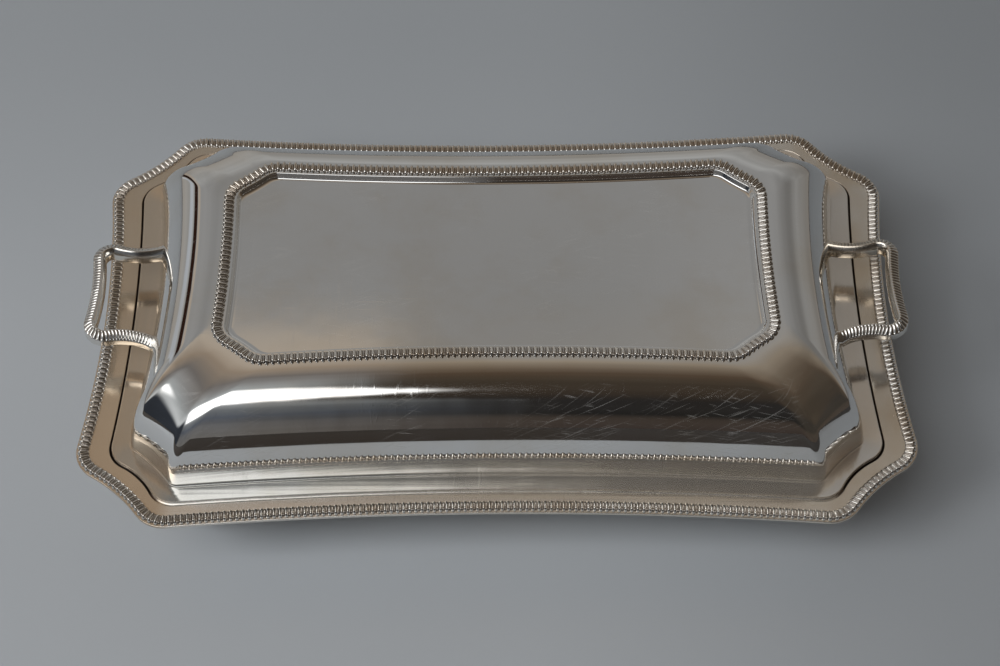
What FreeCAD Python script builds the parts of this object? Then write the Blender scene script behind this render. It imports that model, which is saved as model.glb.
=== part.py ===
import FreeCAD, Part
import os
from collections import namedtuple
from math import atan2, cos, degrees, hypot, pi, sin, sqrt

# A silver entree dish: a pan with a bordered rim, and a raised cover that lifts off by two
# loop handles. Every outline is an oblong whose sides bow inward and whose corners are cut on a cant.
# Origin at the middle of the flat base, +Z up, X along the dish, millimetres.

Plan = namedtuple("Plan", "half_length half_width cant_length cant_width long_bow short_bow cant_bow")
Circle = namedtuple("Circle", "x y radius")
Bend = namedtuple("Bend", "x y radius start end")

# Outline of the rim, through the outer ends of the border's lobes
rim = Plan(half_length=150.0, half_width=90.4, cant_length=28.4, cant_width=25.4,
           long_bow=5.5, short_bow=4.8, cant_bow=3.0)
rim_corner_radius = 12.5

# Outline of the cover's flange, which lies on the rim inside the border
edge_end_inset = 12.6
edge_side_inset = 9.0
edge = Plan(half_length=rim.half_length - edge_end_inset, half_width=rim.half_width - edge_side_inset,
            cant_length=18.8, cant_width=18.8, long_bow=4.8, short_bow=3.0, cant_bow=3.2)
edge_corner_radius = 9.0

# Outline where the cover's wall meets its flange, set in from the rim
wall_end_inset = 19.5
wall_side_inset = 16.4
wall = Plan(half_length=rim.half_length - wall_end_inset, half_width=rim.half_width - wall_side_inset,
            cant_length=16.4, cant_width=16.5, long_bow=4.5, short_bow=4.0, cant_bow=1.0)
wall_corner_radius = 4.4

# Outline of the plain edge round the sunken panel's border, set in from the wall
panel_end_inset = 29.6
panel_side_inset = 26.7
panel = Plan(half_length=wall.half_length - panel_end_inset, half_width=wall.half_width - panel_side_inset,
             cant_length=15.9, cant_width=12.2, long_bow=3.1, short_bow=1.1, cant_bow=0.7)
panel_corner_radius = 12.0

# Struck border, the same moulding on the rim and round the panel
border_width = 4.2
border_rise = 1.7
border_crest_shares = (0.2, 0.75)

# Dish
sheet = 1.2
flange_level = 35.2
lip_reach = 0.6
well_margin = 0.6
well_straight = 12.0
well_round = 14.0
well_steps = 2
well_corner_radius = 5.0

# Cover
cover_sheet = 1.0
panel_ledge_rise = 33.6
panel_margin = 1.0
panel_ledge_margin = 0.4
panel_sink = 2.2
panel_draft = 0.8
shoulder_steps = 5
# Shares across the shoulder and up its rise that steer the wall's curve
wall_pull_share = (0.02, 0.2)
shoulder_pull_share = (0.16, 0.99)

# Bezel strips under the cover's sides that keep it from sliding
bezel_sheet = 1.0
bezel_depth = 7.0
bezel_clearance = 0.4
bezel_skip_share = 0.2

# Handles, rooted inside the end walls and reaching almost as far as the rim
handle_root_inset = 12.5
handle_root_reach = wall.half_length - handle_root_inset
handle_root_spread = 25.0
handle_end_inset = 1.9
handle_end_reach = rim.half_length - handle_end_inset
handle_corner_spread = 23.6
handle_arm_bow = 5.4
handle_bar_bow = 2.6
handle_corner_radius = 5.0
handle_width = 4.8
handle_depth = 5.6
handle_root_level = 51.0
handle_bar_level = 54.6
# Size of the section at the roots against the arm's, and the part of the arm that it takes to narrow
handle_flare_share = 1.9
handle_neck_share = 0.4
# Points of its section as shares of half the width and of the depth below the top
handle_section_shares = ((-1, 1), (1, 1), (1, 0.28), (0, 0), (-1, 0.28))

wall_foot_level = flange_level + cover_sheet
ledge_level = wall_foot_level + panel_ledge_rise


def bowed_circle(start, end, bow):
    """Circle of the arc from start to end whose middle lies bow to the left of the chord."""
    dx = end[0] - start[0]
    dy = end[1] - start[1]
    chord = hypot(dx, dy)
    radius = (chord ** 2 / 4 + bow ** 2) / (2 * bow)
    x = (start[0] + end[0]) / 2 - dy / chord * (bow - radius)
    y = (start[1] + end[1]) / 2 + dx / chord * (bow - radius)
    return Circle(x, y, radius)


def rounding_centre(one, other, radius, near):
    """Centre of the arc that rounds the corner of two circles from outside both, nearest a point."""
    reach_one = one.radius + radius
    reach_other = other.radius + radius
    dx = other.x - one.x
    dy = other.y - one.y
    apart = hypot(dx, dy)
    along = (reach_one ** 2 - reach_other ** 2 + apart ** 2) / (2 * apart)
    aside = sqrt(max(reach_one ** 2 - along ** 2, 0))
    foot_x = one.x + along * dx / apart
    foot_y = one.y + along * dy / apart
    found = [(foot_x - side * aside * dy / apart, foot_y + side * aside * dx / apart) for side in (1, -1)]
    return min(found, key=lambda point: hypot(point[0] - near[0], point[1] - near[1]))


def touch(circle, centre):
    """Point of a circle on the line to another centre."""
    dx = centre[0] - circle.x
    dy = centre[1] - circle.y
    away = hypot(dx, dy)
    return (circle.x + dx * circle.radius / away, circle.y + dy * circle.radius / away)


def outline(plan, inset, radius):
    """The closed outline's sixteen arcs, inset from the plan: corner, side, corner, cant and so on."""
    long_x = plan.half_length - plan.cant_length
    long_y = plan.half_width
    short_x = plan.half_length
    short_y = plan.half_width - plan.cant_width
    corners = [(-long_x, -long_y), (long_x, -long_y), (short_x, -short_y), (short_x, short_y),
               (long_x, long_y), (-long_x, long_y), (-short_x, short_y), (-short_x, -short_y)]
    bows = [plan.long_bow, plan.cant_bow, plan.short_bow, plan.cant_bow] * 2
    circles = []
    for index, bow in enumerate(bows):
        circle = bowed_circle(corners[index], corners[(index + 1) % 8], bow)
        circles.append(circle._replace(radius=circle.radius + inset))
    centres = [rounding_centre(circles[index - 1], circles[index], radius, corners[index])
               for index in range(8)]
    bends = []
    for index in range(8):
        centre = centres[index]
        side = circles[index]
        arrive = touch(circles[index - 1], centre)
        leave = touch(side, centre)
        depart = touch(side, centres[(index + 1) % 8])
        bends.append(Bend(centre[0], centre[1], radius, arrive, leave))
        bends.append(Bend(side.x, side.y, -side.radius, leave, depart))
    return bends


def turn_of(bend):
    """Direction of a bend's turn, the angle it starts at and the angle it sweeps through."""
    turn = 1 if bend.radius > 0 else -1
    first = atan2(bend.start[1] - bend.y, bend.start[0] - bend.x)
    last = atan2(bend.end[1] - bend.y, bend.end[0] - bend.x)
    return turn, first, (turn * (last - first)) % (2 * pi)


def arc_edge(bend, height):
    """Edge of one bend at a height, through the arc's own middle."""
    turn, first, sweep = turn_of(bend)
    middle = first + turn * sweep / 2
    reach = abs(bend.radius)
    via = FreeCAD.Vector(bend.x + reach * cos(middle), bend.y + reach * sin(middle), height)
    start = FreeCAD.Vector(bend.start[0], bend.start[1], height)
    end = FreeCAD.Vector(bend.end[0], bend.end[1], height)
    return Part.Arc(start, via, end).toShape()


def loop(plan, inset, radius, height):
    """Closed outline at a height."""
    return Part.Wire([arc_edge(bend, height) for bend in outline(plan, inset, radius)])


def blend(one, other, share):
    """Plan part of the way from one plan to another."""
    return Plan(*[a + (b - a) * share for a, b in zip(one, other)])


def flat(one, other):
    """Flat face between two outlines at one height."""
    return [Part.makeFace([one, other], "Part::FaceMakerBullseye")]


def between(*loops):
    """Straight-sloped faces from each outline to the next above or below it."""
    return Part.makeLoft(list(loops), False, True).Faces


def sewn(faces):
    """Solid inside a closed set of faces."""
    shell = Part.makeShell(faces)
    shell.sewShape()
    solid = Part.Solid(shell)
    if solid.Volume < 0:
        solid.reverse()
    return solid


def quarter(steps):
    """Pairs of sine and cosine for even steps through a right angle, both ends included."""
    return [(sin(pi / 2 * step / steps), cos(pi / 2 * step / steps)) for step in range(steps + 1)]


def well_side(thickness):
    """Outlines down one face of the dish's well, from its brink round to the floor."""
    inset = -well_margin - thickness
    floor = sheet - thickness
    bottom = flange_level - well_straight
    outlines = [loop(wall, inset, well_corner_radius, flange_level - thickness)]
    for rise, run in quarter(well_steps):
        reach = inset + (well_round + thickness) * (1 - run)
        outlines.append(loop(wall, reach, well_corner_radius, bottom - (bottom - floor) * rise))
    return outlines


def pan_face(thickness):
    """Faces of one side of the pan's sheet, from the floor out to the lip, and the lip's outline."""
    well = well_side(thickness)
    lip = loop(rim, -lip_reach, rim_corner_radius + lip_reach, flange_level - thickness)
    return [Part.Face(well[-1])] + between(*well) + flat(lip, well[0]), lip


def dish_pan():
    """Pan of one sheet: floor, rounded well, and a flat flange out to the plain lip."""
    inside, lip_top = pan_face(0)
    outside, lip_foot = pan_face(sheet)
    return sewn(inside + between(lip_foot, lip_top) + outside)


def curve(pulls, share):
    """Point and slope of a cubic curve steered by four pulls, at a share of its length."""
    rest = 1 - share
    weights = (rest ** 3, 3 * share * rest ** 2, 3 * share ** 2 * rest, share ** 3)
    steps = (rest ** 2, 2 * share * rest, share ** 2)
    point = [sum(weight * pull[axis] for weight, pull in zip(weights, pulls)) for axis in (0, 1)]
    slope = [sum(step * (after[axis] - before[axis])
                 for step, before, after in zip(steps, pulls, pulls[1:])) for axis in (0, 1)]
    return point, slope


def shoulder_side(depth):
    """Outlines up the cover's wall and over its shoulder, at a depth below the outer face."""
    span = wall.half_width - panel.half_width
    pulls = ((0, 0), wall_pull_share, shoulder_pull_share, (1, 1))
    outlines = []
    for step in range(shoulder_steps + 1):
        (across, up), (run, rise) = curve(pulls, sin(pi / 3 * step / shoulder_steps) / sin(pi / 3))
        along = run * span
        climb = rise * panel_ledge_rise
        slope = hypot(along, climb)
        inward = depth * climb / slope
        downward = depth * along / slope
        if step == 0:
            downward = depth
        if step == shoulder_steps:
            inward = 0
            downward = depth
        radius = wall_corner_radius + (panel_corner_radius - wall_corner_radius) * across
        level = wall_foot_level + panel_ledge_rise * up - downward
        outlines.append(loop(blend(wall, panel, across), inward, radius, level))
    return outlines


def cover_face(depth):
    """Faces of one side of the cover's sheet, from the sunken panel down to the wall's foot."""
    level = ledge_level - depth
    ledge_inset = panel_margin + border_width + panel_ledge_margin
    ledge = loop(panel, ledge_inset - depth, panel_corner_radius - ledge_inset, level)
    floor_radius = panel_corner_radius - ledge_inset - panel_draft
    floor = loop(panel, ledge_inset + panel_draft - depth, floor_radius, level - panel_sink)
    shoulder = shoulder_side(depth)
    faces = [Part.Face(floor)] + between(floor, ledge) + flat(shoulder[-1], ledge) + between(*shoulder)
    return faces, shoulder[0]


def cover_shell():
    """Raised cover of one sheet: flange, wall, shoulder, ledge for the border and sunken panel."""
    outside, foot = cover_face(0)
    inside, inner_foot = cover_face(cover_sheet)
    edge_top = loop(edge, 0, edge_corner_radius, wall_foot_level)
    edge_foot = loop(edge, 0, edge_corner_radius, flange_level)
    flange = flat(edge_top, foot) + between(edge_foot, edge_top) + flat(edge_foot, inner_foot)
    return sewn(outside + flange + inside)


def cover_block():
    """The cover's outer form, filled, for seating the handles on its end walls."""
    shoulder = shoulder_side(0)
    return sewn([Part.Face(shoulder[0]), Part.Face(shoulder[-1])] + between(*shoulder))


def section_outline(bend, section, share):
    """A section of insets and heights set across a bend at a share of its length."""
    turn, first, sweep = turn_of(bend)
    angle = first + turn * sweep * share
    points = []
    for inset, height in section:
        reach = abs(bend.radius) - turn * inset
        points.append(FreeCAD.Vector(bend.x + reach * cos(angle), bend.y + reach * sin(angle), height))
    return Part.makePolygon(points + points[:1])


def turned_section(bend, section, skip_start=0, skip_end=0):
    """Solid made by turning a section about a bend's centre, but for shares of its length at the ends."""
    turn, first, sweep = turn_of(bend)
    face = Part.Face(section_outline(bend, section, skip_start))
    centre = FreeCAD.Vector(bend.x, bend.y, 0)
    return face.revolve(centre, FreeCAD.Vector(0, 0, turn), degrees(sweep * (1 - skip_start - skip_end)))


def bezel_strip(number):
    """Upright strip under the cover's flange along a side, a clearance inside the dish's well."""
    outer = bezel_clearance - well_margin
    inner = outer + bezel_sheet
    foot = flange_level - bezel_depth
    section = ((outer, foot), (outer, flange_level), (inner, flange_level), (inner, foot))
    bend = outline(wall, 0, well_corner_radius)[number]
    return turned_section(bend, section, bezel_skip_share, bezel_skip_share)


def border_length(plan, radius, inset, numbers, base):
    """One struck length of border along the numbered bends: sloped faces up to a flat crest."""
    crest = base + border_rise
    section = [(inset, base)] + [(inset + border_width * share, crest) for share in border_crest_shares]
    section.append((inset + border_width, base))
    bends = outline(plan, 0, radius)
    lengths = [turned_section(bends[number], section) for number in numbers]
    if len(lengths) == 1:
        return lengths[0]
    return lengths[0].multiFuse(lengths[1:]).removeSplitter()


def borders(name, plan, radius, inset, base):
    """Four lengths of border round an outline: the long sides, and the ends with their canted corners."""
    lengths = {}
    for order, place in enumerate(places):
        reach = 3 if place in ("right", "left") else 0
        numbers = [(4 * order + 1 + step) % 16 for step in range(-reach, reach + 1)]
        lengths[f"{name}_border_{place}"] = border_length(plan, radius, inset, numbers, base)
    return lengths


def handle_path():
    """Bends of a right-hand handle in plan, from its front root round the bar to its back root."""
    front = (handle_end_reach, -handle_corner_spread)
    back = (handle_end_reach, handle_corner_spread)
    arm = bowed_circle((handle_root_reach, -handle_root_spread), front, handle_arm_bow)
    bar = bowed_circle(front, back, handle_bar_bow)
    centre = rounding_centre(arm, bar, handle_corner_radius, front)
    arm_end = touch(arm, centre)
    bar_start = touch(bar, centre)
    arm_back = (arm_end[0], -arm_end[1])
    bar_end = (bar_start[0], -bar_start[1])
    return [Bend(arm.x, arm.y, -arm.radius, (handle_root_reach, -handle_root_spread), arm_end),
            Bend(centre[0], centre[1], handle_corner_radius, arm_end, bar_start),
            Bend(bar.x, bar.y, -bar.radius, bar_start, bar_end),
            Bend(centre[0], -centre[1], handle_corner_radius, bar_end, arm_back),
            Bend(arm.x, -arm.y, -arm.radius, arm_back, (handle_root_reach, handle_root_spread))]


def handle_section(scale=1):
    """Insets and heights of the handle's section about its path: flat sides and a rounded top."""
    half = handle_width / 2 * scale
    return [(across * half, handle_root_level - down * handle_depth * scale)
            for across, down in handle_section_shares]


def handle():
    """Cast loop handle for the right-hand end: flared roots, two arms, two corners and a bar.

    It is made level, then tipped about its roots so that the bar stands higher than they do.
    """
    path = handle_path()
    solids = []
    for number, bend in enumerate(path):
        trim_start = handle_neck_share if number == 0 else 0
        trim_end = handle_neck_share if number == len(path) - 1 else 0
        solids.append(turned_section(bend, handle_section(), trim_start, trim_end))
    for bend, root, neck in ((path[0], 0, handle_neck_share), (path[-1], 1, 1 - handle_neck_share)):
        outlines = []
        for step in range(3):
            flare = 1 + (handle_flare_share - 1) * (1 - step / 2) ** 2
            outlines.append(section_outline(bend, handle_section(flare), root + (neck - root) * step / 2))
        solids.append(Part.makeLoft(outlines, True, True))
    loop_handle = solids[0].multiFuse(solids[1:]).removeSplitter()
    climb = atan2(handle_bar_level - handle_root_level, handle_end_reach - handle_root_reach)
    axis_point = FreeCAD.Vector(handle_root_reach, 0, handle_root_level)
    loop_handle.rotate(axis_point, FreeCAD.Vector(0, -1, 0), degrees(climb))
    return loop_handle.cut(cover_block())


def turned(shape):
    """The shape turned half round the upright axis."""
    copy = shape.copy()
    copy.rotate(FreeCAD.Vector(0, 0, 0), FreeCAD.Vector(0, 0, 1), degrees(pi))
    return copy


# Sides in the order that an outline passes them, each the fourth bend after the one before it
places = ("front", "right", "back", "left")

pieces = {"dish_pan": dish_pan(), "cover_shell": cover_shell()}
pieces.update(borders("dish", rim, rim_corner_radius, 0, flange_level))
pieces.update(borders("cover", panel, panel_corner_radius, panel_margin, ledge_level))
for order, place in enumerate(places):
    pieces[f"cover_bezel_{place}"] = bezel_strip(4 * order + 1)
pieces["handle_right"] = handle()
pieces["handle_left"] = turned(pieces["handle_right"])

os.makedirs("parts", exist_ok=True)
for name, shape in pieces.items():
    box = shape.BoundBox
    print(name, "solids", len(shape.Solids), "valid", shape.isValid(), "volume", round(shape.Volume, 1),
          "z", round(box.ZMin, 2), round(box.ZMax, 2))
    shape.exportStep(f"parts/{name}.step")
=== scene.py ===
from collections import namedtuple
from math import atan2, cos, hypot, pi, radians, sin, sqrt

import bpy
import numpy as np
from mathutils import Matrix, Vector


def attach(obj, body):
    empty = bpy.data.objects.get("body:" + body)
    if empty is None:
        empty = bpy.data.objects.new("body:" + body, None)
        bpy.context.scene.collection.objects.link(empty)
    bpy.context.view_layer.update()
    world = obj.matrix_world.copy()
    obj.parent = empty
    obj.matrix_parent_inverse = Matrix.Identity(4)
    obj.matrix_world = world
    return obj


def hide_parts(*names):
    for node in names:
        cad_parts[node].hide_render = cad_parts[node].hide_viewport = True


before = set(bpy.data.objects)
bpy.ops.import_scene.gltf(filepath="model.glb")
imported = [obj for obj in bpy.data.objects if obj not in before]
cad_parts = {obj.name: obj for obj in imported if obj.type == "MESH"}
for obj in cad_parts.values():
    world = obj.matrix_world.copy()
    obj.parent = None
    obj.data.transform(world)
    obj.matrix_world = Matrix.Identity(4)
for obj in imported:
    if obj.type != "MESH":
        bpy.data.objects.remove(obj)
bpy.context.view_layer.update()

# Visual model of a silver entree dish: pan, cover, struck borders and loop handles as fine surfaces.
# Lengths are millimetres in the dish's own frame until a surface is made, which scales them to metres.
# Shares are parts of one, and colours are red, green and blue.

millimetre = 0.001

Plan = namedtuple("Plan", "half_length half_width cant_length cant_width long_bow short_bow cant_bow")
Circle = namedtuple("Circle", "x y radius")
Bend = namedtuple("Bend", "x y radius start end")

# Outline of the rim through the outer ends of its lobes
rim = Plan(150.0, 90.4, 28.4, 25.4, 5.5, 4.8, 3.0)
rim_corner_radius = 12.5

# Outline of the cover's flange, set in from the rim
edge_end_inset = 12.6
edge_side_inset = 9.0
edge = Plan(rim.half_length - edge_end_inset, rim.half_width - edge_side_inset, 18.8, 18.8, 4.8, 3.0, 3.2)
edge_corner_radius = 9.0

# Outline of the cover's wall at its foot, set in from the rim
wall_end_inset = 19.5
wall_side_inset = 16.4
wall = Plan(rim.half_length - wall_end_inset, rim.half_width - wall_side_inset, 16.4, 16.5, 4.5, 4.0, 1.0)
wall_corner_radius = 4.4

# Outline of the plain edge round the sunken panel's border, set in from the wall
panel_end_inset = 29.6
panel_side_inset = 26.7
panel = Plan(wall.half_length - panel_end_inset, wall.half_width - panel_side_inset, 15.9, 12.2, 3.1, 1.1,
             0.7)
panel_corner_radius = 12.0

# Levels and sheets
sheet = 1.2
cover_sheet = 1.0
flange_level = 35.2
foot_level = flange_level + cover_sheet
ledge_level = foot_level + 33.6
panel_margin = 0.6
ledge_margin = 0.8
panel_sink = 2.2
panel_draft = 0.8
lip_reach = 0.56
well_margin = 0.6
well_straight = 12.0
well_round = 14.0
well_radius = 5.0

# Steering points of the curve from the wall's foot to the panel, as shares of its run and rise
end_pulls = (0.02, 0.2), (0.16, 0.99)
front_pulls = (0.015, 0.31), (0.148, 0.99)
back_pulls = (0.1, 0.2), (0.3, 0.96)
cant_lean = 0.5
curve_stations = 33
outer_rings = 56
inner_rings = 24

# Seam round the cover's edge, with painted shadow in it; shallower and without the painted shadow along the
# front, where light falls into it
seam_start = 0.02
seam_slope = 0.1
seam_width = 1.0
seam_depth = 0.7
# Painted shadow of the seam, as the shade of its deep points and of its brinks
seam_painted_shadow = 2
seam_brink_painted_shadow = 0.3
seam_brink_width = 0.15
seam_front_line = 66
seam_front_fade = 4
seam_front_reach = 124
seam_reach_fade = 8
seam_front_lift = 0.6

# The cover's flange falls a little from its edge to the wall
foot_sink = 0.7

# Rounding of the creases
brink_round = 0.6
lip_round = 0.35
underside_round = 0.8
floor_round = 0.6
ledge_round = 0.3
foot_round = 0.45
flange_round = 0.3

# Struck border: sizes and steps, then shares of its width, of a pitch and of its rise
border_width = 4.2
border_rise = 1.7
lobe_pitch = 2.15
lobe_steps = 10
reed_steps = 4
bead_share = 0.26
lobe_share = 0.72
lobe_taper = 0.12
reed_rise = 0.42
groove_rise = 0.2
groove_pinch = 0.16
inner_fall = 0.4

# Handles
root_reach = wall.half_length - 12.5
root_spread = 25.0
end_reach = rim.half_length - 1.9
corner_spread = 23.6
arm_bow = 5.4
bar_bow = 2.6
handle_corner_radius = 5.0
handle_width = 4.8
handle_depth = 5.6
root_level = 51.0
bar_level = 54.6
crest_place = 0.25
crest_fall = 0.34
neck_share = 0.4
neck_flare = 0.9
plain_neck = 0.45
rib_pitch = 1.25
rib_depth = 0.45
rib_steps = 8
rib_slant = 0.25
rib_power = 1.6

# Finish of the silver, with the seam's painted shadow and flange tints that are partly painted light and
# shade
dark_in_grooves = (0.12, 0.08, 0.06)
# Painted shadow, near black, in the seam under the cover's edge
painted_seam_shadow = (0.02, 0.014, 0.01)
# Flange tints: the golden one is partly tarnished colour and partly painted warm reflection; the front ones
# are painted light and shade, paler at the dish's front left and greyer at the cover's
golden_tarnish_and_painted_reflection = (0.66, 0.53, 0.39)
beige_front_painted_light = (0.86, 0.81, 0.73)
pale_front_painted_light = (0.92, 0.88, 0.82)
grey_front_painted_shade = (0.5, 0.5, 0.48)
haze_fade = 0.4
groove_start, groove_whole, groove_dark = 0.38, 0.95, 0.93
# Shades over which the seam's painted shadow comes in
seam_shadow_start, seam_shadow_whole = 1.1, 1.5
end_zone = (112, 120)
front_zone = (-70, -66)

# Deeper scratches: turn, usual length and width of each kind of stroke, and where they lie on the wall
wall_strokes = [((0.0, -0.46, 0.0), 32, 0.5), ((0.0, -0.3, 0.0), 15, 0.4), ((0.0, 0.12, 0.0), 7, 0.45)]
panel_strokes = [((0.0, 0.0, 0.35), 20, 0.6), ((0.0, 0.0, -0.2), 14, 0.6)]
wall_stroke_share = 0.16
panel_stroke_share = 0.07
stroke_foot = (46, 50)
stroke_top = (66, 68)
stroke_ends = (100, 112)

# The window in the surroundings: its middle and half its height, as shares of half a turn
window_level = 66 / 180
window_half = 13.5 / 180

# The room by height in degrees, from the front over the top to the back: first at the middle and right,
# then at the left
room_grey = (0.245, 0.243, 0.24)
room_back = [(128, room_grey), (138, room_grey), (146, (0.33, 0.33, 0.325)), (176, (0.27, 0.255, 0.235))]
room_middle = [
    (0, (0.045, 0.035, 0.03)), (14, (0.042, 0.033, 0.027)), (22, (0.017, 0.016, 0.015)),
    (46, (0.022, 0.02, 0.019)), (60, (0.042, 0.032, 0.024)), (86, (0.055, 0.042, 0.03)),
    (98, (0.08, 0.056, 0.038)), (108, (0.17, 0.132, 0.097)), (118, (0.27, 0.225, 0.175)),
    (124, (0.27, 0.25, 0.225)), *room_back]
room_left = [
    (0, (0.135, 0.13, 0.125)), (18, (0.13, 0.13, 0.135)), (30, (0.085, 0.095, 0.115)),
    (44, (0.15, 0.16, 0.17)), (66, (0.62, 0.64, 0.65)), (84, (0.34, 0.355, 0.36)),
    (95, (0.245, 0.24, 0.235)), (104, (0.165, 0.15, 0.14)), (117, (0.29, 0.23, 0.175)),
    (126.4, (0.39, 0.335, 0.275)), (127.4, room_grey), *room_back[1:]]

# Upright bands behind the dish at the left: their left and right edges and colours
bands_behind = [(-0.635, -0.595, (0.36, 0.31, 0.26)), (-0.76, -0.72, (0.4, 0.42, 0.45)),
                (-0.7, -0.64, (0.02, 0.009, 0.006))]
band_blur = 0.008


def bowed_circle(start, end, bow):
    """Circle of the arc from start to end whose middle lies bow to the left of the chord."""
    dx = end[0] - start[0]
    dy = end[1] - start[1]
    chord = hypot(dx, dy)
    radius = (chord ** 2 / 4 + bow ** 2) / (2 * bow)
    return Circle((start[0] + end[0]) / 2 - dy / chord * (bow - radius),
                  (start[1] + end[1]) / 2 + dx / chord * (bow - radius), radius)


def rounding_centre(one, other, radius, near):
    """Centre of the arc that rounds the corner of two circles from outside both, nearest a point."""
    reach_one = one.radius + radius
    reach_other = other.radius + radius
    dx = other.x - one.x
    dy = other.y - one.y
    apart = hypot(dx, dy)
    along = (reach_one ** 2 - reach_other ** 2 + apart ** 2) / (2 * apart)
    aside = sqrt(max(reach_one ** 2 - along ** 2, 0))
    foot = (one.x + along * dx / apart, one.y + along * dy / apart)
    found = [(foot[0] - side * aside * dy / apart, foot[1] + side * aside * dx / apart) for side in (1, -1)]
    return min(found, key=lambda point: hypot(point[0] - near[0], point[1] - near[1]))


def touch(circle, centre):
    """Point of a circle on the line to another centre."""
    dx = centre[0] - circle.x
    dy = centre[1] - circle.y
    away = hypot(dx, dy)
    return (circle.x + dx * circle.radius / away, circle.y + dy * circle.radius / away)


def outline(plan, inset, radius):
    """The closed outline's sixteen arcs, inset from the plan: corner, side, corner, cant and so on."""
    long_x = plan.half_length - plan.cant_length
    long_y = plan.half_width
    short_x = plan.half_length
    short_y = plan.half_width - plan.cant_width
    corners = [(-long_x, -long_y), (long_x, -long_y), (short_x, -short_y), (short_x, short_y),
               (long_x, long_y), (-long_x, long_y), (-short_x, short_y), (-short_x, -short_y)]
    bows = [plan.long_bow, plan.cant_bow, plan.short_bow, plan.cant_bow] * 2
    circles = []
    for index, bow in enumerate(bows):
        circle = bowed_circle(corners[index], corners[(index + 1) % 8], bow)
        circles.append(circle._replace(radius=circle.radius + inset))
    centres = [rounding_centre(circles[index - 1], circles[index], radius, corners[index])
               for index in range(8)]
    bends = []
    for index in range(8):
        centre = centres[index]
        side = circles[index]
        bends.append(Bend(centre[0], centre[1], radius, touch(circles[index - 1], centre),
                          touch(side, centre)))
        bends.append(Bend(side.x, side.y, -side.radius, touch(side, centre),
                          touch(side, centres[(index + 1) % 8])))
    return bends


def turns(bends):
    """Columns of centre, reach, turn, first angle, sweep and length for a row of bends."""
    rows = []
    for bend in bends:
        turn = 1 if bend.radius > 0 else -1
        first = atan2(bend.start[1] - bend.y, bend.start[0] - bend.x)
        last = atan2(bend.end[1] - bend.y, bend.end[0] - bend.x)
        sweep = (turn * (last - first)) % (2 * pi)
        rows.append((bend.x, bend.y, abs(bend.radius), turn, first, sweep, abs(bend.radius) * sweep))
    return np.array(rows).T


def walk(bends, way, inset):
    """Points that lie a way along a row of bends and an inset to its inner side.

    The way is split among the bends by their lengths; within one bend the angle grows evenly.
    """
    x, y, reach, turn, first, sweep, length = turns(bends)
    ends = np.cumsum(length)
    number = np.minimum(np.searchsorted(ends, way, side="right"), len(ends) - 1)
    share = (way - (ends - length)[number]) / length[number]
    angle = first[number] + turn[number] * sweep[number] * share
    away = reach[number] - turn[number] * inset
    return x[number] + away * np.cos(angle), y[number] + away * np.sin(angle)


ring_steps = [14, 110, 14, 16, 14, 70, 14, 16] * 2


def ring(plan, inset, radius, level, shade=0.0):
    """Points round an outline at a level, each with a shade, the same number for every outline."""
    x, y, reach, turn, first, sweep, _ = turns(outline(plan, inset, radius))
    number = np.repeat(np.arange(16), ring_steps)
    share = np.concatenate([np.arange(steps) / steps for steps in ring_steps])
    angle = first[number] + turn[number] * sweep[number] * share
    return np.stack([x[number] + reach[number] * np.cos(angle), y[number] + reach[number] * np.sin(angle),
                     np.full(len(number), level), np.full(len(number), shade)], axis=1)


def eased(rings, radii, steps=5, lead=1.5):
    """Rings with the crease at each one rounded off: a curve that starts and ends a radius away from it.

    A plain ring stands before and after the curve, at a lead of so many radii from the crease.
    """
    made = [rings[0]]
    for before, here, after, radius in zip(rings, rings[1:], rings[2:], radii[1:-1]):
        if radius == 0:
            made.append(here)
            continue
        back = before - here
        ahead = after - here
        back = back / np.linalg.norm(back[:, :3], axis=1).min()
        ahead = ahead / np.linalg.norm(ahead[:, :3], axis=1).min()
        made.append(here + back * radius * lead)
        for share in np.linspace(0, 1, steps):
            made.append(here + radius * (back * (1 - share) ** 2 + ahead * share ** 2))
        made.append(here + ahead * radius * lead)
    made.append(rings[-1])
    return np.array(made)


def surface(name, rings, material, body, stands_for):
    """Closed skin through rings of points, each point with its shade, capped at both ends.

    Each ring joins the next by quads, and a fan to the ring's middle closes each end. The skin is
    turned inside out where its volume comes out negative.
    """
    count, around = rings.shape[:2]
    shade = rings[..., 3]
    rings = rings[..., :3]
    points = np.concatenate([rings.reshape(-1, 3), rings[0].mean(0)[None], rings[-1].mean(0)[None]])
    grid = np.arange(count * around).reshape(count, around)
    step = np.roll(grid, -1, axis=1)
    quads = np.stack([grid[:-1], step[:-1], step[1:], grid[1:]], axis=-1).reshape(-1, 4)
    first = np.stack([grid[0], np.full(around, count * around), step[0]], axis=-1)
    last = np.stack([grid[-1], step[-1], np.full(around, count * around + 1)], axis=-1)
    fans = np.concatenate([first, last])
    halves = np.concatenate([quads[:, :3], quads[:, [0, 2, 3]], fans])
    corners = points[halves]
    volume = np.einsum("ij,ij->i", corners[:, 0], np.cross(corners[:, 1], corners[:, 2])).sum()
    if volume < 0:
        quads = quads[:, ::-1]
        fans = fans[:, ::-1]
    mesh = bpy.data.meshes.new(name)
    mesh.from_pydata(points * millimetre, [], quads.tolist() + fans.tolist())
    mesh.shade_smooth()
    ends = [shade[0].mean(), shade[-1].mean()]
    mesh.attributes.new("groove", "FLOAT", "POINT").data.foreach_set(
        "value", np.concatenate([shade.ravel(), ends]).astype(np.float32))
    mesh.materials.append(material)
    piece = bpy.data.objects.new(name, mesh)
    bpy.context.scene.collection.objects.link(piece)
    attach(piece, body)
    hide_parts(*stands_for)
    return piece


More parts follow.
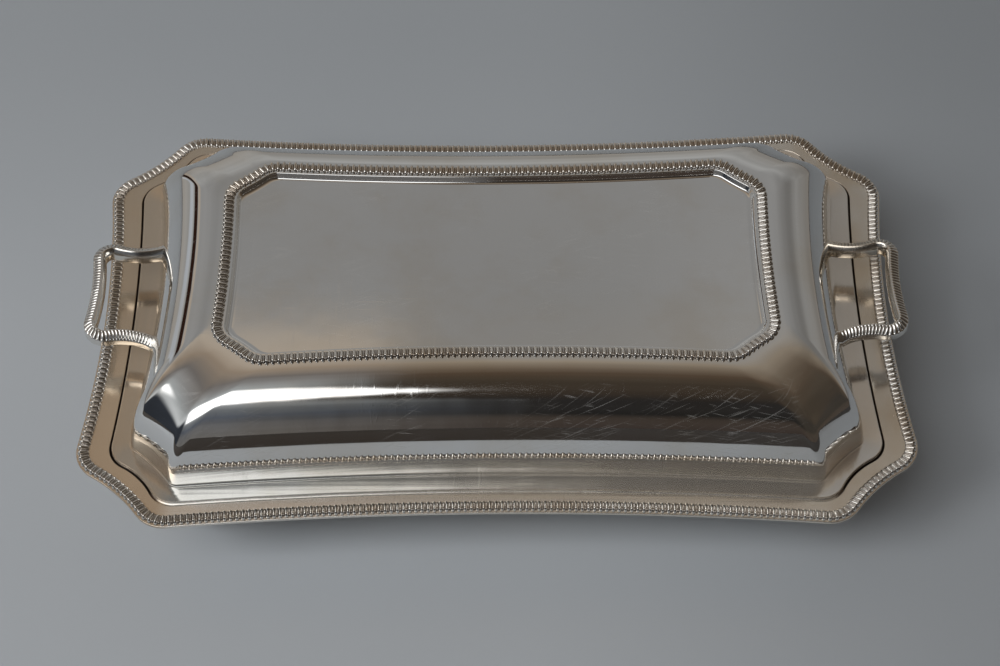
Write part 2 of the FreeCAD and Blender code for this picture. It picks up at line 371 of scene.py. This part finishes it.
def well_rings(thickness, steps=13):
    """Rings down one face of the well: straight from the brink, then a quarter round to the floor."""
    inset = -well_margin - thickness
    floor = sheet - thickness
    bottom = flange_level - well_straight
    rings = [ring(wall, inset, well_radius, flange_level - thickness)]
    for turn in np.linspace(0, pi / 2, steps):
        rings.append(ring(wall, inset + (well_round + thickness) * (1 - cos(turn)), well_radius,
                          bottom - (bottom - floor) * sin(turn)))
    return rings


def seam_rings():
    """Rings of the seam round the cover's edge, with painted shadow; along the front it fades to a shallow
    seam without painted shadow.
    """
    rings = [ring(edge, -out, edge_corner_radius + out, flange_level - drop, shade) for out, drop, shade in (
        (seam_start, 0, seam_brink_painted_shadow), (seam_start + seam_slope, seam_depth, seam_painted_shadow),
        (seam_width - seam_slope, seam_depth, seam_painted_shadow), (seam_width, 0, seam_brink_painted_shadow),
        (seam_width + seam_brink_width, 0, 0))]
    for loop in rings:
        towards_front = np.clip((-loop[:, 1] - seam_front_line) / seam_front_fade, 0, 1)
        in_front = towards_front * np.clip((seam_front_reach - np.abs(loop[:, 0])) / seam_reach_fade, 0, 1)
        loop[:, 2] = flange_level - (flange_level - loop[:, 2]) * (1 - seam_front_lift * in_front)
        # Along the front the painted shadow is taken out, where light falls into the seam
        loop[:, 3] *= 1 - in_front
    return rings


def pan_surface(material):
    """Pan of the dish as one closed sheet, from the middle of its floor over the lip to its underside."""
    inside = well_rings(0)[::-1]
    outside = well_rings(sheet)
    gap = seam_rings()
    lip = [ring(rim, -lip_reach, rim_corner_radius + lip_reach, level)
           for level in (flange_level, flange_level - sheet)]
    rings = inside + gap + lip + outside
    radii = [0] * len(rings)
    brink = len(inside) - 1
    lip_top = brink + len(gap) + 1
    radii[brink] = brink_round
    radii[lip_top] = lip_round
    radii[lip_top + 1] = lip_round
    radii[lip_top + 2] = underside_round
    return surface("dish_pan_skin", eased(rings, radii), material, "dish", ["dish_pan"])


def steered(pulls, share):
    """Point and slope of a curve at a share of its length, from its ends and its two steering points."""
    rest = 1 - share
    weights = (rest ** 3, 3 * share * rest ** 2, 3 * share ** 2 * rest, share ** 3)
    steps = (rest ** 2, 2 * share * rest, share ** 2)
    point = sum(weight * pull for weight, pull in zip(weights, pulls))
    slope = sum(step * pull for step, pull in zip(steps, np.diff(pulls, axis=0)))
    return point, slope


def full_pulls(pulls):
    """Steering points of a curve together with its two ends."""
    return np.array([(0, 0), *pulls, (1, 1)])


def part_way(one, other, share):
    """Plan part of the way from one plan to another."""
    return Plan(*[a + (b - a) * share for a, b in zip(one, other)])


def leans():
    """For every point of the outline, how far it takes after the front and after the back.

    Either number is whole along its own side and fades along the cants and ends beside it.
    """
    front = []
    back = []
    for number, steps in enumerate(ring_steps):
        way = np.arange(steps) / steps
        whole = np.ones(steps)
        front.append({0: whole, 1: whole, 2: whole, 3: 1 - (1 - cant_lean) * way,
                      4: cant_lean - cant_lean * way, 14: cant_lean * way,
                      15: cant_lean + (1 - cant_lean) * way}.get(number, 0 * way))
        back.append({7: way, 8: whole, 9: whole, 10: whole, 11: 1 - way}.get(number, 0 * way))
    return np.concatenate(front), np.concatenate(back)


def face_rings(depth, count):
    """Rings up the cover's wall and over its shoulder, at a depth below the outer face.

    At every point of the outline the curve has its own steering points, more upright along the front
    and softer along the back. It picks its place among outlines from the foot to the panel.
    """
    pulls = full_pulls(end_pulls)[:, :, None]
    for share, kind in zip(leans(), (front_pulls, back_pulls)):
        pulls = pulls + (full_pulls(kind)[:, :, None] - pulls) * share
    table = np.array([ring(part_way(wall, panel, share), 0,
                           wall_corner_radius + (panel_corner_radius - wall_corner_radius) * share, 0)
                      for share in np.linspace(0, 1, curve_stations)])
    column = np.arange(pulls.shape[2])
    span = wall.half_width - panel.half_width
    rise = ledge_level - foot_level
    rings = []
    for share in np.linspace(0, 1, count):
        (across, up), (run, climb) = steered(pulls, share)
        slope = np.hypot(run * span, climb * rise)
        place = np.clip(across, 0, 1) * (curve_stations - 1)
        lower = np.minimum(place.astype(int), curve_stations - 2)
        part = (place - lower)[:, None]
        points = table[lower, column] * (1 - part) + table[lower + 1, column] * part
        along = np.roll(points, -1, axis=0) - np.roll(points, 1, axis=0)
        along /= np.linalg.norm(along, axis=1)[:, None]
        inward = depth * climb * rise / slope
        points[:, 0] -= along[:, 1] * inward
        points[:, 1] += along[:, 0] * inward
        downward = depth if share in (0, 1) else depth * run * span / slope
        points[:, 2] = foot_level + rise * up - downward
        rings.append(points)
    return rings


def cover_surface(material):
    """Cover as one closed sheet, from the middle of the sunken panel over its shoulder and back inside."""
    ledge_inset = panel_margin + border_width + ledge_margin
    floor_radius = panel_corner_radius - ledge_inset - panel_draft
    top = [ring(panel, ledge_inset + panel_draft, floor_radius, ledge_level - panel_sink),
           ring(panel, ledge_inset, panel_corner_radius - ledge_inset, ledge_level)]
    outside = face_rings(0, outer_rings)[::-1]
    outside[-1][:, 2] -= foot_sink
    rim_edge = [ring(edge, 0, edge_corner_radius, level) for level in (foot_level, flange_level)]
    inside = face_rings(cover_sheet, inner_rings)
    back = [ring(panel, ledge_inset - cover_sheet, panel_corner_radius - ledge_inset,
                 ledge_level - cover_sheet),
            ring(panel, ledge_inset + panel_draft - cover_sheet, floor_radius,
                 ledge_level - panel_sink - cover_sheet)]
    middle = [top[0] * (0.5, 0.5, 1, 1)]
    rings = middle + top + outside + rim_edge + inside + back
    radii = [0] * len(rings)
    radii[1] = floor_round
    radii[2] = ledge_round
    foot = len(middle) + len(top) + len(outside) - 1
    radii[foot] = foot_round
    radii[foot + 1] = flange_round
    radii[foot + 2] = flange_round
    return surface("cover_skin", eased(rings, radii), material, "cover", ["cover_shell"])


places = ("front", "right", "back", "left")


def lobed(ways, lobes):
    """Way, swell and groove of a struck border along its length and across its width.

    Along the length wide lobes and thin reeds take turns, each a half ellipse with a groove at both
    sides. The lobes taper towards the inner side, where the reeds widen as much.
    """
    across = np.concatenate([bead_share * (1 - np.cos(np.linspace(0, pi / 2, 8))),
                             bead_share + (1 - bead_share) * np.sin(np.linspace(0, pi / 2, 9)[1:])])
    widest = lobe_share - lobe_taper * across
    lobe = np.arange(lobe_steps) / lobe_steps
    reed = np.arange(reed_steps) / reed_steps
    pitch = (ways[1] - ways[0]) / lobes
    within = np.concatenate([lobe[:, None] * widest, widest + reed[:, None] * (1 - widest)])
    swell = np.concatenate([np.sqrt(1 - (2 * lobe - 1) ** 2), reed_rise * np.sqrt(1 - (2 * reed - 1) ** 2)])
    steps = lobe_steps + reed_steps
    along = (np.arange(lobes)[:, None, None] + within[None]).reshape(lobes * steps, -1)
    along = ways[0] + pitch * np.concatenate([along, np.full((1, len(across)), float(lobes))])
    swell = np.append(np.tile(swell, lobes), 0)
    return along, across, swell


def border_surface(name, place, plan, radius, margin, base, material, body):
    """One length of struck border: a strip of lobes standing on a flat foot.

    Across its width the strip rises steeply from its outer side and falls slowly towards the inner side.
    A length on an end of the dish takes in the cants and corners beside it, three bends each way.
    """
    order = places.index(place)
    middle = margin + border_width / 2
    bends = outline(plan, middle, radius - middle)
    lengths = turns(bends)[6]
    reach = 3 if place in ("right", "left") else 0
    numbers = [(4 * order + 1 + step) % 16 for step in range(-reach, reach + 1)]
    path = [bends[number] for number in numbers]
    length = sum(lengths[number] for number in numbers)
    lobes = round(length / lobe_pitch)
    along, across, swell = lobed((0, length), lobes)
    outer_side = np.sqrt(np.clip(1 - ((bead_share - across) / bead_share) ** 2, 0, 1))
    fall = np.clip((across - bead_share) / (1 - bead_share), 0, 1)
    inner_side = np.sqrt(1 - fall ** 8) * (1 - inner_fall * fall)
    section = np.where(across < bead_share, outer_side, inner_side)
    height = base + border_rise * section * (groove_rise + (1 - groove_rise) * swell[:, None])
    pinch = groove_pinch * (1 - swell[:, None])
    inset = border_width * (pinch + across * (1 - 1.5 * pinch)) - border_width / 2
    x, y = walk(path, along, inset)
    top = np.stack([x, y, height, np.broadcast_to(1 - swell[:, None], height.shape)], axis=-1)
    foot = top[:, ::-1][:, [0, -1]].copy()
    foot[..., 2] = base
    rings = np.concatenate([top, foot], axis=1)
    return surface(f"{name}_border_{place}_lobes", rings, material, body,
                   [f"{name}_border_{place}"])


def handle_path():
    """Bends of the right-hand handle in plan, from its front root round the bar to its back root."""
    front = (end_reach, -corner_spread)
    back = (end_reach, corner_spread)
    arm = bowed_circle((root_reach, -root_spread), front, arm_bow)
    bar = bowed_circle(front, back, bar_bow)
    centre = rounding_centre(arm, bar, handle_corner_radius, front)
    arm_end = touch(arm, centre)
    bar_start = touch(bar, centre)
    arm_back = (arm_end[0], -arm_end[1])
    bar_end = (bar_start[0], -bar_start[1])
    return [Bend(arm.x, arm.y, -arm.radius, (root_reach, -root_spread), arm_end),
            Bend(centre[0], centre[1], handle_corner_radius, arm_end, bar_start),
            Bend(bar.x, bar.y, -bar.radius, bar_start, bar_end),
            Bend(centre[0], -centre[1], handle_corner_radius, bar_end, arm_back),
            Bend(arm.x, -arm.y, -arm.radius, arm_back, (root_reach, root_spread))]


def wall_reach(y, level, steps=60):
    """How far out the cover's end wall stands at given places across it and levels."""
    pulls = full_pulls(end_pulls)
    curve = np.array([steered(pulls, share)[0] for share in np.linspace(0, 1, steps)])
    ups = foot_level + curve[:, 1] * (ledge_level - foot_level)
    circles = []
    for across in curve[:, 0]:
        plan = part_way(wall, panel, across)
        half = plan.half_width - plan.cant_width
        circles.append(bowed_circle((plan.half_length, -half), (plan.half_length, half), plan.short_bow))
    centre = np.interp(level, ups, [circle.x for circle in circles])
    radius = np.interp(level, ups, [circle.radius for circle in circles])
    return centre - np.sqrt(radius ** 2 - y ** 2)


def handle_section():
    """Points round the handle's section as shares of half its width and of its depth, and their ribs.

    From the outer edge a ribbed slope rises to a crest, then a smooth slope falls to the inner side.
    The sides are upright and the foot is flat with eased corners.
    """
    place = np.linspace(-1, crest_place, 13)
    fall = crest_fall * ((crest_place - place) / (crest_place + 1)) ** 1.6
    arch = 1 - np.abs((2 * place + 1 - crest_place) / (crest_place + 1)) ** 8
    smooth = [(0.33, 0.01, 0), (0.55, 0.09, 0), (0.8, 0.23, 0), (0.97, 0.38, 0), (1, 0.5, 0), (1, 0.8, 0),
              (0.97, 0.93, 0), (0.85, 1, 0), (0.3, 1, 0), (-0.3, 1, 0), (-0.85, 1, 0), (-0.97, 0.93, 0),
              (-1, 0.8, 0), (-1, 0.5, 0)]
    return np.concatenate([np.stack([place, fall, arch], axis=1), smooth]).T


def handle_surface(side, material):
    """Loop handle: a crested section swept round the handle's path, with slanting ribs on its outer slope.

    The section widens towards the roots, where it is laid against the cover's end wall. A groove sinks
    between the ribs by a power of the distance from the rib's crest.
    """
    path = handle_path()
    lengths = turns(path)[6]
    length = lengths.sum()
    ribs = round(length / rib_pitch)
    way = np.linspace(0, length, ribs * rib_steps + 1)[:, None]
    neck = neck_share * lengths[0]
    from_root = np.minimum(way, length - way)
    flare = 1 + neck_flare * np.clip(1 - from_root / neck, 0, 1) ** 2
    sides, falls, arch = handle_section()
    slant = rib_slant * sides * rib_pitch * np.sign(way - length / 2)
    phase = ((way + slant) / rib_pitch) % 1
    ribbed = arch * np.clip((from_root - neck * plain_neck) / neck, 0, 1)
    groove = np.abs(2 * phase - 1) ** rib_power * ribbed
    across = sides * handle_width / 2 * flare
    down = handle_depth * flare * falls + rib_depth * groove
    x, y = walk(path, np.broadcast_to(way, across.shape), across)
    climb = atan2(bar_level - root_level, end_reach - root_reach)
    away = x - root_reach
    x = root_reach + away * cos(climb) + down * sin(climb)
    z = root_level + away * sin(climb) - down * cos(climb)
    x = np.maximum(x, wall_reach(y, z) - cover_sheet / 2)
    turn = 1 if side == "right" else -1
    rings = np.stack([x * turn, y * turn, z, groove], axis=-1)
    return surface(f"handle_{side}_loop", rings, material, "cover", [f"handle_{side}"])


class Nodes:
    """Short way to lay out the nodes of a material or of the surroundings."""

    def __init__(self, tree):
        self.tree = tree
        tree.nodes.clear()

    def feed(self, socket, value):
        """Give a socket a link, a number, a direction or a colour."""
        if isinstance(value, bpy.types.NodeSocket):
            self.tree.links.new(value, socket)
        elif socket.type == "RGBA":
            socket.default_value = (*value, 1.0)
        else:
            socket.default_value = value

    def add(self, kind, settings=None, **values):
        """Node of a kind with its settings, and with values or links for its named inputs."""
        made = self.tree.nodes.new("ShaderNode" + kind)
        for key, value in (settings or {}).items():
            setattr(made, key, value)
        for key, value in values.items():
            self.feed(made.inputs[int(key[1:]) if key[1:].isdigit() else key.replace("_", " ")], value)
        return made.outputs[0] if made.outputs else made

    def given(self, kind, output):
        """Named output of a node that takes nothing in."""
        return self.tree.nodes.new("ShaderNode" + kind).outputs[output]

    def parts(self, vector):
        """The x, y and z of a place or direction."""
        return self.add("SeparateXYZ", None, i0=vector).node.outputs

    def maths(self, operation, one, other=0.0):
        """Sum, difference or other operation of two values."""
        return self.add("Math", {"operation": operation}, i0=one, i1=other)

    def product(self, one, other):
        """Product of two values."""
        return self.maths("MULTIPLY", one, other)

    def ranged(self, value, low, high, first=0.0, last=1.0):
        """Value's place between low and high, smoothly, as a number from first to last."""
        return self.add("MapRange", {"interpolation_type": "SMOOTHSTEP"}, i0=value, i1=low, i2=high, i3=first,
                        i4=last)

    def between(self, value, low, high, first=0.0, last=1.0):
        """Place of a length between two lengths in millimetres, smoothly, as a number from first to last."""
        return self.ranged(value, low * millimetre, high * millimetre, first, last)

    def mixed(self, share, one, other):
        """Colour part of the way from one to another."""
        made = self.tree.nodes.new("ShaderNodeMix")
        made.data_type = "RGBA"
        for number, value in ((0, share), (6, one), (7, other)):
            self.feed(made.inputs[number], value)
        return made.outputs[2]

    def noise(self, place, scale, detail=3.0, rough=0.5):
        """Cloudy number at a place."""
        return self.add("TexNoise", None, Vector=place, Scale=scale, Detail=detail, Roughness=rough)

    def stretched(self, place, stretch):
        """Cloudy number whose clouds are drawn out, by a count of them to a metre along x, y and z."""
        return self.noise(self.add("Mapping", None, Vector=place, Scale=stretch), 1.0, 2.0)


def empty_material(name):
    """New material with its nodes, its place and the x, y and z of that."""
    material = bpy.data.materials.new(name)
    material.use_nodes = True
    nodes = Nodes(material.node_tree)
    place = nodes.given("TexCoord", "Object")
    return material, nodes, place, nodes.parts(place)


def strokes(nodes, place, side, height):
    """Share of deeper scratches, which shine matt: clear on the long walls and fainter on the panel."""
    patches = nodes.ranged(nodes.noise(place, 38.0, 2.0), 0.42, 0.6)
    on_wall = nodes.product(nodes.between(height, *stroke_foot), nodes.between(height, *stroke_top, 1.0, 0.0))
    away = nodes.maths("ABSOLUTE", side)
    on_wall = nodes.product(on_wall, nodes.between(away, *stroke_ends, wall_stroke_share, 0.0))
    from_panel = nodes.maths("SUBTRACT", height, (ledge_level - panel_sink) * millimetre)
    on_panel = nodes.between(nodes.maths("ABSOLUTE", from_panel), 0.2, 0.4, panel_stroke_share, 0.0)
    found = 0.0
    for zone, kinds in ((on_wall, wall_strokes), (on_panel, panel_strokes)):
        for turn, length, width in kinds:
            along = length * millimetre
            across = width * millimetre
            size = (along, 1.0, across) if kinds is wall_strokes else (along, across, 1.0)
            drawn = nodes.add("Mapping", {"vector_type": "TEXTURE"}, Vector=place, Rotation=turn, Scale=size)
            stroke = nodes.product(nodes.ranged(nodes.noise(drawn, 1.0, 0.0), 0.66, 0.8), zone)
            found = nodes.maths("MAXIMUM", found, stroke)
    return nodes.product(found, patches)


def silver(name, clean, warm, smooth, haze_top=0.0, front_tint=pale_front_painted_light, scratched=False):
    """Worn silver: warm tarnished clouds, fine wiping scratches, grooves that keep their dark, and painted
    shadow in the seam.

    Below the top of the haze, which is a level, a flange is rolled, duller and golden: tarnished all along,
    with painted warm reflection that grows towards the left. In front it takes its own tints of painted light
    and shade, the front tint at the left and a beige one at the right.
    """
    material, nodes, place, (x, y, z) = empty_material(name)
    clouds = nodes.noise(place, 26.0, 4.0, 0.6)
    tint = nodes.mixed(nodes.ranged(clouds, 0.42, 0.68), clean, warm)

    lengthways = nodes.product(nodes.ranged(nodes.stretched(place, (60.0, 900.0, 400.0)), 0.55, 0.8),
                               nodes.ranged(nodes.noise(place, 45.0, 2.0), 0.4, 0.7))
    crossed = nodes.add("Mapping", None, Vector=place, Rotation=(0.3, 0.2, 0.9), Scale=(900.0, 70.0, 500.0))
    crossways = nodes.product(nodes.ranged(nodes.noise(crossed, 1.0, 2.0), 0.55, 0.8),
                              nodes.ranged(nodes.noise(place, 33.0, 2.0), 0.35, 0.65))
    marks = nodes.maths("ADD", lengthways, crossways)

    groove = nodes.add("Attribute", {"attribute_name": "groove"}).node.outputs["Fac"]
    dark = nodes.ranged(groove, groove_start, groove_whole, 0.0, groove_dark)
    hazy = nodes.between(z, haze_top, haze_top + haze_fade, 1.0, 0.0)
    rough = nodes.ranged(clouds, 0.35, 0.75, smooth, smooth * 1.9)
    for share, added in ((marks, 0.06), (dark, 0.25), (hazy, 0.09)):
        rough = nodes.maths("ADD", rough, nodes.product(share, added))

    at_end = nodes.between(nodes.maths("ABSOLUTE", x), *end_zone)
    rolled = nodes.ranged(at_end, 0.0, 1.0, nodes.stretched(place, (9.0, 420.0, 0.0)),
                          nodes.stretched(place, (420.0, 9.0, 0.0)))
    rolled = nodes.product(rolled, nodes.product(hazy, 0.5))

    # Golden tint: tarnished all along, with painted warm reflection growing towards the left
    golden = nodes.product(hazy, nodes.between(x, -160, 0, 0.9, 0.35))
    # Front flange tints: painted light and shade, the front tint at the left of the front and a beige one at
    # the right
    in_front = nodes.product(nodes.between(y, *front_zone, 1.0, 0.0), nodes.maths("SUBTRACT", 1.0, at_end))
    front_painted_light_and_shade = nodes.mixed(nodes.between(x, -70, 20), front_tint, beige_front_painted_light)
    tint = nodes.mixed(golden, tint, golden_tarnish_and_painted_reflection)
    tint = nodes.mixed(nodes.product(hazy, in_front), tint, front_painted_light_and_shade)
    tint = nodes.mixed(dark, tint, dark_in_grooves)
    # Painted shadow in the seam under the cover's edge, near black where the shade passes one
    tint = nodes.mixed(nodes.ranged(groove, seam_shadow_start, seam_shadow_whole), tint, painted_seam_shadow)

    dents = nodes.noise(place, 70.0, 1.0)
    height = nodes.maths("ADD", nodes.product(marks, 0.012), nodes.product(dents, 0.2))
    height = nodes.maths("ADD", height, rolled)
    bump = nodes.add("Bump", None, Strength=0.3, Distance=0.4 * millimetre, Height=height)

    mirror = nodes.ranged(hazy, 0.0, 1.0, 1.0, 0.8)
    if scratched:
        mirror = nodes.maths("SUBTRACT", mirror, strokes(nodes, place, x, z))
    shader = nodes.add("BsdfPrincipled", None, Base_Color=tint, Metallic=mirror, Roughness=rough, Normal=bump)
    nodes.add("OutputMaterial", None, Surface=shader)
    return material


def paper():
    """Matt pale paper under the dish, with a faint uneven tone and painted shade that darkens it towards the
    back and the right, away from the light.

    Seen in the silver, the paper is painted dark from a little in front of the dish on: a painted reflection
    of the dark room past the table's edge.
    """
    material, nodes, place, (x, y, _) = empty_material("table_paper")
    clouds = nodes.noise(place, 3.0, 3.0)
    tone = nodes.mixed(nodes.ranged(clouds, 0.3, 0.7), (0.525, 0.565, 0.61), (0.555, 0.595, 0.64))
    # Painted reflection: in glossy rays the paper turns dark brown beyond a line in front of the dish, for
    # the dark room past the table's edge
    mirrored = nodes.given("LightPath", "Is Glossy Ray")
    beyond = nodes.product(mirrored, nodes.between(y, -235, -225, 1.0, 0.0))
    tone = nodes.mixed(beyond, tone, (0.045, 0.036, 0.03))
    # Painted shade: darker towards the back and the right, away from the light at the upper left
    tone = nodes.mixed(nodes.between(y, -20, 200, 0.0, 0.35), tone, (0.28, 0.31, 0.34))
    tone = nodes.mixed(nodes.between(x, 0, 220, 0.0, 0.3), tone, (0.1, 0.11, 0.12))
    grain = nodes.noise(place, 900.0, 2.0)
    bump = nodes.add("Bump", None, Strength=0.1, Distance=0.3 * millimetre, Height=grain)
    shader = nodes.add("BsdfPrincipled", None, Base_Color=tone, Roughness=0.85, Normal=bump)
    nodes.add("OutputMaterial", None, Surface=shader)
    return material


def ramp_colour(nodes, value, stops):
    """Colour along a row of stops, each a height in degrees and a colour."""
    ramp = nodes.tree.nodes.new("ShaderNodeValToRGB")
    nodes.tree.links.new(value, ramp.inputs[0])
    elements = ramp.color_ramp.elements
    while len(elements) < len(stops):
        elements.new(0.5)
    for element, (height, colour) in zip(elements, stops):
        element.position = height / 180
        element.color = (*colour, 1.0)
    return ramp.outputs[0]


def surroundings():
    """Room round the dish by direction: its height from the front over the top to the back, and its side.

    In front it is dark, from the middle to the right; overhead it is brown; behind it is grey. On the
    left is a bright window that ends in a wedge before the middle, and upright bands behind it.
    """
    world = bpy.data.worlds.new("room")
    bpy.context.scene.world = world
    world.use_nodes = True
    nodes = Nodes(world.node_tree)
    direction = nodes.given("TexCoord", "Generated")
    x, y, z = nodes.parts(direction)
    height = nodes.maths("DIVIDE", nodes.maths("ARCTAN2", z, nodes.product(y, -1.0)), pi)

    shift = nodes.ranged(height, 0.25, 0.33, 0.035, 0.0)
    leftward = nodes.ranged(nodes.maths("SUBTRACT", x, shift), -0.08, -0.03, 1.0, 0.0)
    colour = nodes.mixed(leftward, ramp_colour(nodes, height, room_middle),
                         ramp_colour(nodes, height, room_left))
    far_left = nodes.product(nodes.ranged(height, 0.3, 0.42, 1.0, 0.0),
                             nodes.ranged(x, -0.88, -0.8, 1.0, 0.0))
    colour = nodes.mixed(far_left, colour, (0.028, 0.032, 0.04))

    behind = nodes.ranged(height, 0.72, 0.78)
    for left_edge, right_edge, tone in bands_behind:
        band = nodes.product(nodes.ranged(x, left_edge - band_blur, left_edge + band_blur),
                             nodes.ranged(x, right_edge - band_blur, right_edge + band_blur, 1.0, 0.0))
        colour = nodes.mixed(nodes.product(behind, band), colour, tone)
    rightward = nodes.product(nodes.ranged(x, 0.12, 0.6), 0.4)
    colour = nodes.mixed(rightward, colour, (0.07, 0.058, 0.045))

    half_height = nodes.ranged(x, -0.075, -0.005, window_half, 0.0)
    beyond = nodes.maths("SUBTRACT", nodes.maths("ABSOLUTE", nodes.maths("SUBTRACT", height, window_level)),
                         half_height)
    pane = nodes.product(nodes.ranged(beyond, -0.022, 0.022, 1.0, 0.0), nodes.ranged(x, -0.85, -0.75))
    pane = nodes.product(pane, nodes.ranged(half_height, 0.0, 0.02))
    colour = nodes.mixed(pane, colour, (2.2, 2.2, 2.2))
    clouds = nodes.ranged(nodes.noise(direction, 3.0, 2.0), 0.3, 0.7, 0.88, 1.12)
    back = nodes.add("Background", None, Color=colour, Strength=clouds)
    nodes.add("OutputWorld", None, Surface=back)


def daylight():
    """Soft light on the table from the upper left. The silver mirrors the window of the room instead."""
    light = bpy.data.lights.new("daylight", "AREA")
    light.shape = "DISK"
    light.size = 0.5
    light.energy = 4.8
    light.color = (1.0, 0.99, 0.97)
    lamp = bpy.data.objects.new("daylight", light)
    lamp.location = (-0.95, -0.5, 0.9)
    lamp.rotation_euler = (-lamp.location).to_track_quat("-Z", "Y").to_euler()
    lamp.visible_glossy = False
    bpy.context.scene.collection.objects.link(lamp)


def photo_camera():
    """Camera at the photo's viewing height and distance, turned and rolled by a touch."""
    azimuth = radians(0.231)
    elevation = radians(53.333)
    roll = radians(-0.6)
    distance = 739.556
    target = Vector((1.374, -8.289, 36.0))
    back = Vector((sin(azimuth) * cos(elevation), -cos(azimuth) * cos(elevation), sin(elevation)))
    across = Vector((0, 0, 1)).cross(back).normalized()
    up = back.cross(across)
    right = across * cos(roll) + up * sin(roll)
    above = up * cos(roll) - across * sin(roll)
    data = bpy.data.cameras.new("photo_camera")
    data.lens = 72.0
    data.sensor_width = 36.0
    data.clip_start = 0.01
    data.clip_end = 50.0
    camera = bpy.data.objects.new("photo_camera", data)
    turned = Matrix((right, above, back)).transposed()
    camera.matrix_world = Matrix.Translation((target + back * distance) * millimetre) @ turned.to_4x4()
    bpy.context.scene.collection.objects.link(camera)
    bpy.context.scene.camera = camera


def table_top(material):
    """Wide flat table under the dish, six metres each way."""
    half = 3.0
    corners = [(-half, -half, 0), (half, -half, 0), (half, half, 0), (-half, half, 0)]
    mesh = bpy.data.meshes.new("table_top")
    mesh.from_pydata(corners, [], [(0, 1, 2, 3)])
    mesh.materials.append(material)
    table = bpy.data.objects.new("table_top", mesh)
    bpy.context.scene.collection.objects.link(table)


dish_silver = silver("dish_silver", (0.86, 0.83, 0.77), (0.74, 0.64, 0.51), 0.06, haze_top=36.0)
cover_silver = silver("cover_silver", (0.9, 0.895, 0.88), (0.86, 0.83, 0.78), 0.03, haze_top=36.4,
                      front_tint=grey_front_painted_shade, scratched=True)
border_silver = silver("border_silver", (0.92, 0.89, 0.84), (0.84, 0.76, 0.66), 0.1)
handle_silver = silver("handle_silver", (0.88, 0.86, 0.82), (0.76, 0.68, 0.57), 0.15)

pan_surface(dish_silver)
cover_surface(cover_silver)
for place in places:
    border_surface("dish", place, rim, rim_corner_radius, 0, flange_level, border_silver, "dish")
    border_surface("cover", place, panel, panel_corner_radius, panel_margin, ledge_level, border_silver,
                   "cover")
    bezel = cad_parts[f"cover_bezel_{place}"]
    bezel.data.materials.clear()
    bezel.data.materials.append(cover_silver)
for side in ("right", "left"):
    handle_surface(side, handle_silver)

surroundings()
table_top(paper())
daylight()
photo_camera()
bpy.context.scene.view_settings.view_transform = "Standard"
